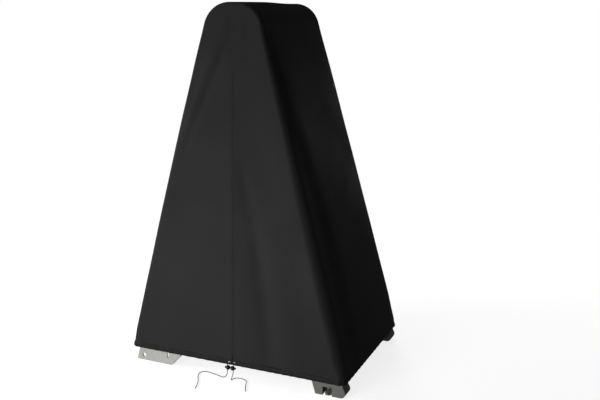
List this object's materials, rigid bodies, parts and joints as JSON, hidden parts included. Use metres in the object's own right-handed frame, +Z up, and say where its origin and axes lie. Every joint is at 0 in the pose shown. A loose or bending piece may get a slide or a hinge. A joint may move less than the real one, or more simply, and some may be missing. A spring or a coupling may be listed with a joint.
{
  "type": "covered a-frame pool ladder",
  "caption": "A-frame pool ladder with a platform, handrails and treads, standing under a fitted zip-up fabric cover with a drawcord hem.",
  "frame": {"origin": "on the floor under the middle of the object", "axes": "+Z up; +X towards the inner, pool side ladder; the cover's zipped front faces -Y"},
  "size_m": [1.264, 1.0591, 1.93],
  "materials": {
    "cover_fabric": "black waterproof woven fabric, matt with a weak sheen",
    "hem_fabric": "black folded and stitched fabric and zip tape",
    "cord": "black braided cord",
    "zip_plastic": "black moulded zip coil and slider",
    "lock_plastic": "glossy black moulded plastic",
    "side_panel_resin": "light grey moulded resin, fine grain",
    "platform_resin": "off-white moulded resin",
    "tread_resin": "grey moulded resin with a ribbed top",
    "guard_resin": "dark grey moulded resin",
    "mat_rubber": "dark ribbed rubber",
    "tube_aluminium": "satin aluminium tube",
    "shoe_resin": "mid grey moulded resin",
    "hardware_steel": "plated steel"
  },
  "bodies": {
    "ladder_frame": {"outer_side_panel_front": "side_panel_resin", "outer_side_panel_back": "side_panel_resin", "outer_step_1": "tread_resin", "outer_step_2": "tread_resin", "outer_step_3": "tread_resin", "outer_step_4": "tread_resin", "climb_guard_panel": "guard_resin", "platform_deck": "platform_resin", "platform_mat": "mat_rubber", "handrail_front": "tube_aluminium", "handrail_back": "tube_aluminium", "hinge_bracket_front": "hardware_steel", "hinge_bracket_back": "hardware_steel", "hinge_pin_front": "hardware_steel", "hinge_pin_back": "hardware_steel"},
    "inner_ladder": {"inner_rail_front": "tube_aluminium", "inner_rail_back": "tube_aluminium", "inner_step_1": "platform_resin", "inner_step_2": "platform_resin", "inner_step_3": "platform_resin", "inner_step_4": "platform_resin", "platform_support_bar": "tube_aluminium", "inner_shoe_front": "shoe_resin", "inner_shoe_back": "shoe_resin"},
    "front_levelling_foot": {"levelling_foot_front": "hardware_steel"},
    "back_levelling_foot": {"levelling_foot_back": "hardware_steel"},
    "cover": {"cover_back_panel": "cover_fabric", "cover_front_upper_panel": "cover_fabric", "cover_left_gusset": "cover_fabric", "cover_right_gusset": "cover_fabric", "cover_top_gusset": "cover_fabric", "hem_channel": "hem_fabric", "hem_drawcord": "cord", "zip_top_stop": "zip_plastic"},
    "slider": {"zip_slider": "zip_plastic"},
    "pull_tab": {"zip_pull_tab": "zip_plastic"},
    "left_flap": {"cover_left_flap": "cover_fabric", "left_flap_hem": "hem_fabric", "left_flap_drawcord": "cord", "left_zip_tape": "hem_fabric", "left_zip_coil": "zip_plastic", "left_eyelet": "hardware_steel", "left_cord_lock_ball": "lock_plastic", "left_cord_lock_spring": "hardware_steel", "left_cord_tail": "cord"},
    "left_lock_button": {"left_cord_lock_button": "lock_plastic"},
    "right_flap": {"cover_right_flap": "cover_fabric", "right_flap_hem": "hem_fabric", "right_flap_drawcord": "cord", "right_zip_tape": "hem_fabric", "right_zip_coil": "zip_plastic", "right_eyelet": "hardware_steel", "right_cord_lock_ball": "lock_plastic", "right_cord_lock_spring": "hardware_steel", "right_cord_tail": "cord"},
    "right_lock_button": {"right_cord_lock_button": "lock_plastic"}
  },
  "joints": [
    {"name": "inner_ladder_fold", "type": "hinge", "parent": "ladder_frame", "child": "inner_ladder", "pos_m": [0.15252, 0, 1.69835], "axis": [0, 1, 0], "range_deg": [0, 24]},
    {"name": "cover_lift", "type": "slide", "parent": "ladder_frame", "child": "cover", "axis": [0, 0, 1], "range_m": [0, 1.95]},
    {"name": "left_flap_open", "type": "hinge", "parent": "cover", "child": "left_flap", "pos_m": [-0.618, -0.4375, 0.075], "axis": [-0.3756, -0.0402, -0.9259], "range_deg": [0, 140]},
    {"name": "right_flap_open", "type": "hinge", "parent": "cover", "child": "right_flap", "pos_m": [0.618, -0.4375, 0.075], "axis": [-0.3756, 0.0402, 0.9259], "range_deg": [0, 140]},
    {"name": "zip_travel", "type": "slide", "parent": "cover", "child": "slider", "axis": [0, 0.0434, 0.9991], "range_m": [0, 1.39]},
    {"name": "pull_tab_swing", "type": "hinge", "parent": "slider", "child": "pull_tab", "pos_m": [0, -0.43714, 0.11102], "axis": [-1, 0, 0], "range_deg": [0, 170]},
    {"name": "front_foot_level", "type": "slide", "parent": "inner_ladder", "child": "front_levelling_foot", "axis": [0, 0, -1], "range_m": [0, 0.015]},
    {"name": "back_foot_level", "type": "slide", "parent": "inner_ladder", "child": "back_levelling_foot", "axis": [0, 0, -1], "range_m": [0, 0.015]},
    {"name": "left_lock_press", "type": "slide", "parent": "left_flap", "child": "left_lock_button", "axis": [1, 0, 0], "range_m": [0, 0.004], "stiffness_N_per_m": 500, "springref_m": -0.002, "deforming": ["left_cord_lock_spring"]},
    {"name": "right_lock_press", "type": "slide", "parent": "right_flap", "child": "right_lock_button", "axis": [-1, 0, 0], "range_m": [0, 0.004], "stiffness_N_per_m": 500, "springref_m": -0.002, "deforming": ["right_cord_lock_spring"]}
  ],
  "couplings": [
    {"joint": "right_flap_open", "follows": "left_flap_open", "ratio": 1},
    {"joint": "zip_travel", "follows": "left_flap_open", "m_per_rad": 0.5688}
  ]
}
